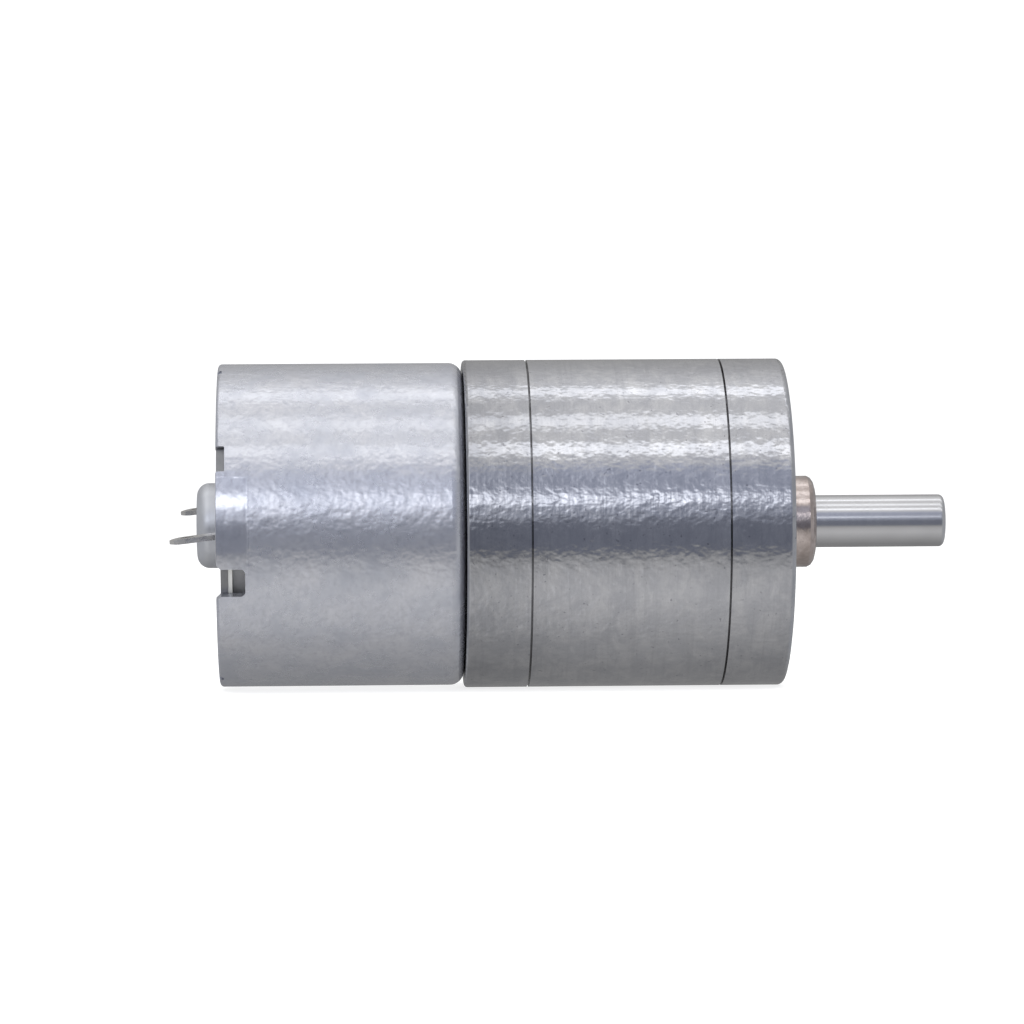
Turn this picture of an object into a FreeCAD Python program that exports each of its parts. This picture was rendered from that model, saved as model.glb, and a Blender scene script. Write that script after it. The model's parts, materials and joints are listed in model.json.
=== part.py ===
"""Spur gearmotor: a flat brushed motor, a round steel gearbox of five reductions and a 4 mm D-shaft.

Row frame: millimetres, X along the shafts and pointing out of the output end, Z up, and the origin on
the shaft axis in the gearbox's front face. The motor lies at negative X and the free shaft at positive X.

Angles round the axis are given in degrees from +Y towards +Z. The -Y side is the one with the near
terminal and the two rim notches.
"""

import FreeCAD, Part
import math
import operator
import os

# alias, value in millimetres (or degrees, or a count), what it is
DIMENSIONS = [
    # gearbox shells
    ("box_radius", 12.5, "outer radius of the three gearbox shells"),
    ("box_length", 24.4, "gearbox length, front face to motor"),
    ("rear_length", 4.84, "visible length of the rear housing"),
    ("front_length", 4.84, "visible length of the front cover"),
    ("box_wall", 1.2, "shell wall"),
    ("seam_gap", 0.16, "width of the parting groove between shells"),
    ("edge_round", 0.2, "rounded outer edge of the shells"),
    ("spigot_length", 0.8, "overlap of one shell in the next"),
    ("floor_thickness", 1.8, "floor of the rear housing"),
    ("cover_thickness", 3.2, "front plate of the front cover"),
    ("cover_bore", 11.6, "bore of the gear housing in front of the support plate"),
    ("fit_gap", 0.02, "radial gap of pieces that are assembled tight"),
    ("run_gap", 0.03, "radial gap of pieces that turn"),
    # interfaces on the front face
    ("mount_spacing", 17.0, "distance between the two M3 mounting holes"),
    ("mount_radius", 1.25, "M3 tapping radius"),
    ("screw_circle", 10.25, "radius of the circle of the housing screws"),
    ("screw_radius", 0.8, "M1.6 housing screw"),
    ("screw_head", 1.45, "countersunk head radius"),
    ("screw_head_height", 0.7, "countersunk head height"),
    ("screw_end", -23.7, "X where the housing screws end"),
    # output shaft and its bearings
    ("shaft_radius", 2.0, "output shaft"),
    ("shaft_end", 12.5, "X of the free end of the output shaft"),
    ("shaft_round", 0.4, "rounded edge of the free end"),
    ("flat_depth", 0.5, "depth of the D flat"),
    ("flat_length", 10.3, "length of the D flat, into the oil groove"),
    ("bush_radius", 3.5, "outer radius of the output bush"),
    ("bush_nose", 2.5, "length of the bush outside the front face"),
    ("bush_bevel_length", 0.55, "bevel of the nose, along the axis"),
    ("bush_bevel_depth", 0.75, "bevel of the nose, across"),
    ("bush_lip", 0.17, "height of the staked lip round the foot of the nose"),
    ("bush_lip_width", 0.2, "width of the staked lip"),
    ("bush_flange", 4.4, "radius of the bush's inner flange"),
    ("bush_flange_width", 0.8, "thickness of the inner flange"),
    ("groove_start", 1.9, "X where the oil groove in the bush mouth starts"),
    ("groove_width", 0.6, "width of the oil groove"),
    ("tail_radius", 1.5, "rear journal of the output shaft"),
    ("plate_front", -8.4, "X of the support plate's front face"),
    ("plate_thickness", 1.4, "support plate"),
    # gear train
    ("tooth_module", 0.4, "gear module"),
    ("pinion_teeth", 10, "teeth of every pinion"),
    ("wheel_teeth", 22, "teeth of every wheel"),
    ("pressure_angle", 25.0, "pressure angle, degrees"),
    ("profile_shift", 0.15, "profile shift of the pinions, taken off the wheels"),
    ("tooth_thinning", 0.03, "arc taken off each tooth for backlash"),
    ("pin_radius", 0.75, "the two fixed gear pins"),
    ("wheel_width", 2.0, "face width of the cluster wheels"),
    ("stage_pitch", 2.6, "X step from one cluster wheel to the next"),
    ("first_wheel_start", -20.0, "X of the rear face of the first cluster wheel"),
    ("cluster_pinion_length", 2.7, "pinion of clusters one to three"),
    ("last_pinion_length", 5.6, "pinion of cluster four"),
    ("output_wheel_start", -8.0, "X of the rear face of the output wheel"),
    ("output_wheel_width", 3.6, "face width of the output wheel"),
    ("motor_pinion_start", -21.4, "X of the rear face of the motor pinion"),
    ("motor_pinion_length", 3.5, "motor pinion"),
    ("washer_radius", 1.35, "washers and sleeves on the gear pins"),
    # motor shell
    ("can_radius", 12.3, "outer radius of the motor can"),
    ("can_length", 18.55, "length of the motor can"),
    ("can_wall", 0.8, "wall of the can"),
    ("can_shoulder", 1.05, "rounded front shoulder"),
    ("can_boss_radius", 3.0, "front bearing boss"),
    ("can_boss_length", 1.1, "front bearing boss"),
    ("deep_notch", 2.17, "depth of the open rim notches"),
    ("deep_width", 2.18, "width of the open rim notches"),
    ("deep_angle", 20.2, "angle of the open notches from the Y axis, degrees"),
    ("shallow_notch", 0.67, "depth of the notches that hold the end plate's lugs"),
    ("shallow_width", 2.03, "width of the lug notches"),
    ("shallow_angle", 23.85, "angle of the lug notches from the Y axis, degrees"),
    ("notch_round", 0.4, "rounded inner corners of the open notches"),
    ("notch_flare", 0.35, "bevel at the mouth of the open notches"),
    ("pad_length", 2.36, "pressed pads between the notches"),
    ("pad_height", 0.08, "pressed pads, beyond the can's wall"),
    ("pad_arc", 34.0, "arc of a pressed pad, degrees"),
    ("stake_angle", 70.0, "angle of the small staking nicks from the Y axis, degrees"),
    ("stake_width", 0.6, "staking nicks"),
    ("motor_screw_circle", 8.0, "radius of the circle of the two motor screws"),
    ("motor_screw_radius", 1.0, "M2 motor screws"),
    # rear end of the motor
    ("plate_inset", 0.33, "end plate below the rim"),
    ("end_plate_thickness", 0.55, "end plate"),
    ("cap_radius", 3.25, "drawn bearing cap on the end plate"),
    ("cap_height", 2.03, "drawn bearing cap"),
    ("cap_round", 0.95, "rounded edge of the cap"),
    ("insulator_thickness", 0.3, "insulating disc under the end plate"),
    ("holder_radius", 10.5, "brush holder"),
    ("holder_thickness", 1.1, "floor of the brush holder"),
    ("near_reach", 3.55, "near terminal beyond the rim"),
    ("far_reach", 3.25, "far terminal beyond the rim"),
    ("terminal_width", 2.1, "terminals"),
    ("terminal_thickness", 0.38, "terminals"),
    ("terminal_offset", 7.6, "terminals from the axis, along Y"),
    ("near_height", -0.76, "Z of the near terminal where it crosses the rim"),
    ("far_height", 1.36, "Z of the far terminal where it crosses the rim"),
    ("terminal_slope", 7.2, "both tabs lean down towards their tips, degrees"),
    ("terminal_roll", 5.0, "both tabs are turned a little on their own length, degrees"),
    # rotor
    ("rotor_shaft", 1.0, "motor shaft radius"),
    ("rotor_radius", 7.9, "armature"),
    ("rotor_start", -35.4, "X of the armature's rear end"),
    ("lamination", 0.5, "thickness of a lamination"),
    ("lamination_pitch", 0.52, "pitch of the stack"),
    ("lamination_count", 15, "laminations"),
    ("pole_count", 3, "armature poles"),
    ("magnet_inner", 8.4, "inner radius of the magnets"),
    ("magnet_start", -36.6, "X of the magnets' rear end"),
    ("magnet_length", 10.2, "magnets"),
    ("magnet_arc", 134.0, "arc of a magnet, degrees"),
    ("commutator_start", -40.4, "X of the commutator's rear end"),
    ("commutator_length", 3.0, "commutator"),
    ("commutator_radius", 2.5, "commutator"),
]

PIN_ANGLES = {"a": 240.0, "b": 300.0}
HOUSING_SCREW_ANGLES = (90.0, 210.0, 330.0)
ALONG_X = FreeCAD.Rotation(FreeCAD.Vector(0, 1, 0), 90)
AXIS_X = FreeCAD.Vector(1, 0, 0)
ORIGIN = FreeCAD.Vector(0, 0, 0)

doc = FreeCAD.newDocument("gearmotor")
subparts = {}


# ---------------------------------------------------------------- lengths and the sheet


class Length:
    """A number together with the sheet expression that gives it."""

    def __init__(self, value, text):
        self.value = float(value)
        self.text = text

    def combined(self, sign, other, work):
        other = as_length(other)
        return Length(work(self.value, other.value), f"({self.text} {sign} {other.text})")

    def __add__(self, other):
        return self.combined("+", other, operator.add)

    def __sub__(self, other):
        return self.combined("-", other, operator.sub)

    def __mul__(self, other):
        return self.combined("*", other, operator.mul)

    def __truediv__(self, other):
        return self.combined("/", other, operator.truediv)

    def __neg__(self):
        return Length(-self.value, f"(0 - {self.text})")


def as_length(number):
    return number if isinstance(number, Length) else Length(number, f"({number})")


class Sheet:
    """The document's sheet of driving dimensions; reading an alias gives a Length."""

    def __init__(self, rows):
        self.cells = doc.addObject("Spreadsheet::Sheet", "dims")
        self.values = {}
        for row, (alias, value, note) in enumerate(rows, start=1):
            self.cells.set(f"A{row}", note)
            self.cells.set(f"B{row}", str(value))
            self.cells.setAlias(f"B{row}", alias)
            self.values[alias] = value

    def __getattr__(self, alias):
        return Length(self.values[alias], f"dims.{alias}")


D = Sheet(DIMENSIONS)
doc.recompute()
TERMINALS = {"near": (-1, D.near_height), "far": (1, D.far_height)}  # side along Y, height at the rim


def polar(radius, degrees):
    """The Y and Z of a point at a radius and an angle round the axis."""
    degrees = as_length(degrees)
    turn = math.radians(degrees.value)
    text = f"{degrees.text} * 1 deg"
    return (
        Length(radius.value * math.cos(turn), f"({radius.text} * cos({text}))"),
        Length(radius.value * math.sin(turn), f"({radius.text} * sin({text}))"),
    )


def bind(thing, **lengths):
    """Ties properties to sheet expressions; two underscores stand for the dots of a path."""
    for path, length in lengths.items():
        thing.setExpression(path.replace("__", "."), as_length(length).text)


# ---------------------------------------------------------------- sketches and bodies


def stepped_towards(corner, other, distance):
    """The point at a distance from a corner along the upright or level edge to its neighbour."""
    dx = other[0].value - corner[0].value
    dy = other[1].value - corner[1].value
    if abs(dx) > abs(dy):
        return (corner[0] + distance * math.copysign(1, dx), corner[1])
    return (corner[0], corner[1] + distance * math.copysign(1, dy))


def expanded(outline):
    """The outline's points as (x, y, corner, radius); an arc starts at each point that has a corner."""
    corners = [(as_length(x), as_length(y), *more) for x, y, *more in outline]
    points = []
    for i, (x, y, *more) in enumerate(corners):
        if not more:
            points.append((x, y, None, None))
            continue
        radius = as_length(more[0])
        before, after = corners[i - 1], corners[(i + 1) % len(corners)]
        points.append((*stepped_towards((x, y), before, radius), (x, y), radius))
        points.append((*stepped_towards((x, y), after, radius), None, None))
    return points


def draw_outline(sketch, outline):
    """Draws a closed outline of lines, with an arc at each corner that has a radius, all bound to the sheet."""
    points = expanded(outline)
    at = [FreeCAD.Vector(x.value, y.value, 0) for x, y, _, _ in points]
    edges = []  # geometry id, start vertex, end vertex
    for i, (_, _, corner, radius) in enumerate(points):
        start, end = at[i], at[(i + 1) % len(points)]
        if corner is None:
            edges.append((sketch.addGeometry(Part.LineSegment(start, end)), 1, 2))
            continue
        centre = start + end - FreeCAD.Vector(corner[0].value, corner[1].value, 0)
        a, b = (math.atan2(p.y - centre.y, p.x - centre.x) for p in (start, end))
        anticlockwise = math.sin(b - a) > 0
        low, high = (a, b) if anticlockwise else (b, a)
        circle = Part.Circle(centre, FreeCAD.Vector(0, 0, 1), radius.value)
        edge = sketch.addGeometry(Part.ArcOfCircle(circle, low, high if high > low else high + 2 * math.pi))
        edges.append((edge, 1, 2) if anticlockwise else (edge, 2, 1))
        bind_constraint(sketch, ["Radius", edge], radius)
    for i, (x, y, _, _) in enumerate(points):
        edge, start, end = edges[i]
        following, its_start, _ = edges[(i + 1) % len(points)]
        sketch.addConstraint(constraint("Coincident", edge, end, following, its_start))
        fix_point(sketch, edge, start, x, y)


def constraint(*arguments):
    import Sketcher

    return Sketcher.Constraint(*arguments)


def bind_constraint(sketch, arguments, length):
    index = sketch.addConstraint(constraint(*arguments, length.value))
    sketch.setExpression(f"Constraints[{index}]", length.text)


def fix_point(sketch, edge, vertex, x, y):
    """Dimensions a vertex from the sketch's origin, or sets it on an axis where the distance is nothing."""
    for kind, axis, length in (("DistanceX", -2, x), ("DistanceY", -1, y)):
        if length.value == 0:
            sketch.addConstraint(constraint("PointOnObject", edge, vertex, axis))
        else:
            bind_constraint(sketch, [kind, -1, 1, edge, vertex], length)


def new_body(name):
    body = doc.addObject("PartDesign::Body", name)
    body.Label = name
    return body


def sketch_on(body, name, role):
    sketch = body.newObject("Sketcher::SketchObject", f"{body.Name}_{name}")
    plane = next(f for f in body.Origin.OriginFeatures if f.Role == role)
    sketch.AttachmentSupport = (plane, [""])
    sketch.MapMode = "FlatFace"
    return sketch


def turned(name, outline, y=None, z=None):
    """A body turned about its own X axis from an outline of (X, radius) points, set at Y and Z.

    The outline is drawn below the axis, so that the seam of the turned faces lies underneath.
    """
    body = new_body(name)
    sketch = sketch_on(body, "outline", "XZ_Plane")
    sketch.AttachmentOffset = FreeCAD.Placement(ORIGIN, FreeCAD.Rotation(AXIS_X, 180))
    draw_outline(sketch, outline)
    turning = body.newObject("PartDesign::Revolution", f"{name}_turning")
    turning.Profile = sketch
    turning.ReferenceAxis = (sketch, ["H_Axis"])
    turning.Angle = 360
    if y is not None:
        bind(body, Placement__Base__y=y, Placement__Base__z=z)
    return body


def ring(name, start, length, inner, outer, y=None, z=None):
    """A plain tube or washer from X = start."""
    start = as_length(start)
    end = start + length
    return turned(name, [(start, inner), (start, outer), (end, outer), (end, inner)], y, z)


def rod(name, start, length, radius, y=0.0, z=0.0):
    """A cylinder along X, for cutting or fusing."""
    cylinder = doc.addObject("Part::Cylinder", name)
    cylinder.Placement = FreeCAD.Placement(ORIGIN, ALONG_X)
    bind(cylinder, Radius=radius, Height=length)
    bind(cylinder, Placement__Base__x=start, Placement__Base__y=y, Placement__Base__z=z)
    return cylinder


def cone(name, start, length, radius_start, radius_end, y=0.0, z=0.0):
    """A cone along X, for countersinks."""
    solid = doc.addObject("Part::Cone", name)
    solid.Placement = FreeCAD.Placement(ORIGIN, ALONG_X)
    bind(solid, Radius1=radius_start, Radius2=radius_end, Height=length)
    bind(solid, Placement__Base__x=start, Placement__Base__y=y, Placement__Base__z=z)
    return solid


def block_at_angle(name, start, length, width, inner, outer, degrees):
    """A block between two radii, turned round the X axis to an angle."""
    block = doc.addObject("Part::Box", name)
    turn = FreeCAD.Rotation(AXIS_X, as_length(degrees).value)
    block.Placement = FreeCAD.Placement(ORIGIN, turn)
    inner, outer, width = as_length(inner), as_length(outer), as_length(width)
    bind(block, Length=length, Width=outer - inner, Height=width)
    y, z = polar(inner, degrees)
    across_y, across_z = polar(width / 2, as_length(degrees) - 90)
    bind(block, Placement__Base__x=start, Placement__Base__y=y + across_y, Placement__Base__z=z + across_z)
    bind(block, Placement__Rotation__Angle=degrees)
    return block


def rim_notch(name, degrees, width, depth, corner, flare):
    """A radial cutter for a notch in the can's rim, with rounded inner corners and a bevelled mouth."""
    rim = -D.box_length - D.can_length
    sketch = doc.addObject("Sketcher::SketchObject", f"{name}_outline")
    half = width / 2
    draw_outline(sketch, [
        (rim - 1, -half - flare),
        (rim, -half - flare),
        (rim + flare, -half),
        (rim + depth, -half, corner),
        (rim + depth, half, corner),
        (rim + flare, half),
        (rim, half + flare),
        (rim - 1, half + flare),
    ])
    # the sketch's Y axis runs round the rim and its Z axis points outwards
    inner = D.can_radius - D.can_wall - 0.5
    sketch.Placement = FreeCAD.Placement(ORIGIN, FreeCAD.Rotation(AXIS_X, as_length(degrees).value - 90))
    y, z = polar(inner, degrees)
    bind(sketch, Placement__Base__y=y, Placement__Base__z=z, Placement__Rotation__Angle=as_length(degrees) - 90)
    cutter = doc.addObject("Part::Extrusion", name)
    cutter.Base = sketch
    cutter.DirMode = "Normal"
    cutter.Solid = True
    bind(cutter, LengthFwd=D.can_wall + 1)
    return cutter


def grouped(name, members):
    group = doc.addObject("Part::Compound", name)
    group.Label = name
    group.Links = members
    return group


def cut(name, base, tools):
    result = doc.addObject("Part::Cut", name)
    result.Label = name
    base.Label = f"{name}_blank"
    result.Base = base
    result.Tool = tools[0] if len(tools) == 1 else grouped(f"{name}_cutters", tools)
    return result


def fused(name, members):
    result = doc.addObject("Part::MultiFuse", name)
    result.Label = name
    result.Shapes = members
    return result


def computed(name, shape):
    """A sub-part whose shape comes from a formula rather than from a sketch."""
    feature = doc.addObject("Part::Feature", name)
    feature.Label = name
    feature.Shape = shape
    return feature


def keep(*parts):
    """Marks finished sub-parts, which are written under their labels."""
    for part in parts:
        subparts[part.Label] = part


# ---------------------------------------------------------------- gears


def involute(base_radius, roll):
    """A point of the involute as radius and angle, for a roll angle in radians."""
    return base_radius * math.hypot(1, roll), roll - math.atan(roll)


def on_circle(radius, angle):
    return FreeCAD.Vector(0, radius * math.cos(angle), radius * math.sin(angle))


def gear_shape(teeth, shift, width, bore, phase):
    """An external spur gear about the X axis from X = 0, with a tooth centred at the phase angle in degrees."""
    module = D.tooth_module.value
    pressure = math.radians(D.pressure_angle.value)
    pitch = module * teeth / 2
    base = pitch * math.cos(pressure)
    tip = pitch + module * (1 + shift)
    root = pitch + module * (shift - 1.25)
    half_tooth = (module * (math.pi / 2 + 2 * shift * math.tan(pressure)) - D.tooth_thinning.value) / (2 * pitch)
    half_at_base = half_tooth + math.tan(pressure) - pressure
    last_roll = math.sqrt((tip / base) ** 2 - 1)
    flank_points = 7
    flank = [involute(base, last_roll * i / (flank_points - 1)) for i in range(flank_points)]
    edges = []
    for tooth in range(teeth):
        middle = math.radians(phase) + 2 * math.pi * tooth / teeth
        following = middle + 2 * math.pi / teeth
        rising = [on_circle(r, middle - half_at_base + turn) for r, turn in flank]
        falling = [on_circle(r, middle + half_at_base - turn) for r, turn in reversed(flank)]
        root_before = on_circle(root, middle - half_at_base)
        root_after = on_circle(root, middle + half_at_base)
        edges.append(Part.LineSegment(root_before, rising[0]).toShape())
        edges.append(spline_edge(rising))
        edges.append(Part.Arc(rising[-1], on_circle(tip, middle), falling[0]).toShape())
        edges.append(spline_edge(falling))
        edges.append(Part.LineSegment(falling[-1], root_after).toShape())
        gap_middle = on_circle(root, (middle + following) / 2)
        edges.append(Part.Arc(root_after, gap_middle, on_circle(root, following - half_at_base)).toShape())
    blank = Part.Face(Part.Wire(edges)).extrude(FreeCAD.Vector(width, 0, 0))
    hole = Part.makeCylinder(bore, width + 2, FreeCAD.Vector(-1, 0, 0), AXIS_X)
    return blank.cut(hole)


def spline_edge(points):
    curve = Part.BSplineCurve()
    curve.interpolate(points)
    return curve.toShape()


def phase_in_mesh(direction, teeth, phase, other_teeth):
    """The phase of a gear whose centre lies in a direction from one of a given phase, tooth into space."""
    return direction + 180 + (teeth * (direction - phase) - 180) / other_teeth


def gear(name, teeth, shift, start, width, bore, phase, centre=(0.0, 0.0)):
    part = computed(name, gear_shape(teeth, shift, width, bore, phase))
    part.Placement = FreeCAD.Placement(FreeCAD.Vector(start, *centre), FreeCAD.Rotation())
    return part


def make_gear_train():
    """The motor pinion, four clusters that alternate between the two pins, and the output wheel."""
    pinion_z, wheel_z = int(D.pinion_teeth.value), int(D.wheel_teeth.value)
    shift = D.profile_shift.value
    spread = D.tooth_module.value * (pinion_z + wheel_z) / 2
    pin_bore = D.pin_radius.value + D.run_gap.value
    centres = {pin: on_circle(spread, math.radians(angle)) for pin, angle in PIN_ANGLES.items()}
    a_to_b = math.degrees(math.atan2(centres["b"].z - centres["a"].z, centres["b"].y - centres["a"].y))

    motor_pinion = gear("motor_pinion", pinion_z, shift, D.motor_pinion_start.value,
                        D.motor_pinion_length.value, D.rotor_shaft.value + D.fit_gap.value, 0.0)
    keep(motor_pinion)
    directions = [PIN_ANGLES["a"], a_to_b, a_to_b + 180, a_to_b]
    phase = 0.0
    for i, (ordinal, pin, direction) in enumerate(zip(("first", "second", "third", "fourth"), "abab", directions)):
        wheel_phase = phase_in_mesh(direction, pinion_z, phase, wheel_z)
        start = D.first_wheel_start.value + i * D.stage_pitch.value
        width = D.wheel_width.value
        centre = (centres[pin].y, centres[pin].z)
        # the wheel is pressed on a sleeve that the pinion carries, so that both turn on the pin together
        sleeve = D.washer_radius.value
        wheel = gear(f"{ordinal}_wheel", wheel_z, -shift, start, width, sleeve + D.fit_gap.value, wheel_phase, centre)
        last = ordinal == "fourth"
        length = D.last_pinion_length.value if last else D.cluster_pinion_length.value
        teeth = gear_shape(pinion_z, shift, length, pin_bore, phase)
        core = Part.makeCylinder(sleeve, width, FreeCAD.Vector(-width, 0, 0), AXIS_X)
        bore = Part.makeCylinder(pin_bore, width + 2, FreeCAD.Vector(-width - 1, 0, 0), AXIS_X)
        pinion = computed(f"{ordinal}_pinion", teeth.fuse(core.cut(bore)).removeSplitter())
        pinion.Placement = FreeCAD.Placement(FreeCAD.Vector(start + width, *centre), FreeCAD.Rotation())
        keep(wheel, pinion)
    output_phase = phase_in_mesh(PIN_ANGLES["b"] + 180, pinion_z, phase, wheel_z)
    keep(gear("output_wheel", wheel_z, -shift, D.output_wheel_start.value, D.output_wheel_width.value,
              D.shaft_radius.value + 0.5 + D.fit_gap.value, output_phase))


# ---------------------------------------------------------------- gearbox


def pin_place(pin):
    spread = D.tooth_module * (D.pinion_teeth + D.wheel_teeth) / 2
    return polar(spread, PIN_ANGLES[pin])


def make_rear_housing():
    """A turned cup that the motor screws to; the gear housing's spigot enters its open end."""
    rear, seam = -D.box_length, D.rear_length - D.box_length
    inside = D.box_radius - D.box_wall
    seat = inside + D.box_wall / 2 + D.fit_gap
    boss_hole = D.can_boss_radius + D.fit_gap
    blank = turned("rear_housing_cup", [
        (rear, boss_hole),
        (rear, D.box_radius, D.edge_round * 1.25),
        (seam - D.seam_gap / 2, D.box_radius),
        (seam - D.seam_gap / 2, seat),
        (seam - D.spigot_length - D.fit_gap, seat),
        (seam - D.spigot_length - D.fit_gap, inside),
        (rear + D.floor_thickness, inside),
        (rear + D.floor_thickness, boss_hole),
    ])
    cutters = []
    for side, angle in (("left", 0.0), ("right", 180.0)):
        y, z = polar(D.motor_screw_circle, angle)
        hole_radius = D.motor_screw_radius + D.fit_gap
        cutters.append(rod(f"motor_screw_hole_{side}", rear - 1, D.floor_thickness + 2, hole_radius, y, z))
        sink_start = rear + D.floor_thickness - D.motor_screw_radius
        cutters.append(cone(f"motor_screw_sink_{side}", sink_start, D.motor_screw_radius + 0.01,
                            hole_radius, hole_radius + D.motor_screw_radius, y, z))
    for i, angle in enumerate(HOUSING_SCREW_ANGLES):
        y, z = polar(D.screw_circle, angle)
        depth = rear + D.floor_thickness - D.screw_end
        cutters.append(rod(f"screw_thread_{i}", D.screw_end - 0.1, depth + 1, D.screw_radius + D.fit_gap, y, z))
    for pin in PIN_ANGLES:
        y, z = pin_place(pin)
        cutters.append(rod(f"rear_pin_seat_{pin}", rear + 0.5, D.floor_thickness, D.pin_radius + D.fit_gap, y, z))
    keep(cut("rear_housing", blank, cutters))


def make_gear_housing():
    """The middle tube: a spigot at its rear end and a wider bore in front, where the support plate sits."""
    rear_seam, front_seam = D.rear_length - D.box_length, -D.front_length
    inside = D.box_radius - D.box_wall
    spigot = inside + D.box_wall / 2
    keep(turned("gear_housing", [
        (rear_seam - D.spigot_length, inside),
        (rear_seam - D.spigot_length, spigot),
        (rear_seam + D.seam_gap / 2, spigot),
        (rear_seam + D.seam_gap / 2, D.box_radius),
        (front_seam - D.seam_gap / 2, D.box_radius),
        (front_seam - D.seam_gap / 2, D.cover_bore),
        (D.plate_front - D.plate_thickness, D.cover_bore),
        (D.plate_front - D.plate_thickness, inside),
    ]))


def make_front_cover():
    """The front plate with its rim, spigot, bush hole, two M3 mounting holes and three countersinks."""
    seam = -D.front_length
    spigot = D.cover_bore - D.fit_gap
    inside = D.cover_bore - 0.4
    bush_hole = D.bush_radius + D.fit_gap
    blank = turned("front_cover_cup", [
        (-D.cover_thickness, bush_hole),
        (-D.cover_thickness, inside),
        (seam - D.spigot_length, inside),
        (seam - D.spigot_length, spigot),
        (seam + D.seam_gap / 2, spigot),
        (seam + D.seam_gap / 2, D.box_radius),
        (0.0, D.box_radius, D.edge_round * 2.25),
        (0.0, bush_hole + 0.15),
        (-0.15, bush_hole),
    ])
    cutters = []
    for side, angle in (("left", 0.0), ("right", 180.0)):
        y, z = polar(D.mount_spacing / 2, angle)
        through = D.cover_thickness + 2
        cutters.append(rod(f"mounting_hole_{side}", -D.cover_thickness - 1, through, D.mount_radius, y, z))
        cutters.append(cone(f"mounting_hole_mouth_{side}", -0.3, 0.31, D.mount_radius, D.mount_radius + 0.31, y, z))
    for i, angle in enumerate(HOUSING_SCREW_ANGLES):
        y, z = polar(D.screw_circle, angle)
        hole = D.screw_radius + D.fit_gap
        cutters.append(rod(f"cover_screw_hole_{i}", seam - 2, D.front_length + 3, hole, y, z))
        cutters.append(cone(f"cover_sink_{i}", -D.screw_head_height - D.fit_gap, D.screw_head_height + D.fit_gap + 0.01,
                            hole, D.screw_head + D.fit_gap * 2, y, z))
    y, z = pin_place("b")
    cutters.append(rod("front_pin_seat_b", -D.cover_thickness - 1, 2.6, D.pin_radius + D.fit_gap, y, z))
    keep(cut("front_cover", blank, cutters))


def make_support_plate():
    """A pressed plate that carries the output shaft's tail and pin A, and lets the last pinion through."""
    back = D.plate_front - D.plate_thickness
    rim = D.cover_bore - D.fit_gap
    seam = -D.front_length - D.spigot_length - D.fit_gap
    bush_hole = D.tail_radius + 1 + D.fit_gap
    blank = turned("support_plate_cup", [
        (back, bush_hole),
        (back, rim),
        (seam, rim),
        (seam, rim - 0.36),
        (D.plate_front, rim - 0.36),
        (D.plate_front, bush_hole),
    ])
    y, z = pin_place("a")
    cutters = [rod("plate_pin_hole_a", back - 1, 4, D.pin_radius + D.fit_gap, y, z)]
    y, z = pin_place("b")
    pinion_tip = D.tooth_module * (D.pinion_teeth / 2 + 1 + D.profile_shift)
    cutters.append(rod("plate_pinion_window", back - 1, 4, pinion_tip + 0.25, y, z))
    for i, angle in enumerate(HOUSING_SCREW_ANGLES):
        y, z = polar(D.screw_circle, angle)
        cutters.append(rod(f"plate_screw_hole_{i}", back - 1, 4, D.screw_radius + 0.1, y, z))
    keep(cut("support_plate", blank, cutters))
    keep(ring("tail_bush", back, D.plate_thickness, D.tail_radius + D.run_gap, bush_hole - D.fit_gap))


def make_output_bush():
    """The long sintered bush with a rounded nose outside and a flange behind the cover."""
    inner = D.shaft_radius + D.run_gap
    behind = -D.cover_thickness
    keep(turned("output_bush", [
        (behind - D.bush_flange_width, inner),
        (behind - D.bush_flange_width, D.bush_flange),
        (behind - D.fit_gap, D.bush_flange),
        (behind - D.fit_gap, D.bush_radius),
        (D.fit_gap, D.bush_radius),
        (D.fit_gap, D.bush_radius + D.bush_lip),
        (D.fit_gap + D.bush_lip_width, D.bush_radius + D.bush_lip),
        (D.fit_gap + D.bush_lip_width, D.bush_radius),
        (D.bush_nose - D.bush_bevel_length, D.bush_radius),
        (D.bush_nose - D.bush_bevel_length * 0.5, D.bush_radius - D.bush_bevel_depth * 0.2),
        (D.bush_nose - D.bush_bevel_length * 0.17, D.bush_radius - D.bush_bevel_depth * 0.55),
        (D.bush_nose, D.bush_radius - D.bush_bevel_depth),
        (D.bush_nose, inner + 0.12),
        (D.bush_nose - 0.12, inner),
    ]))


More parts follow.
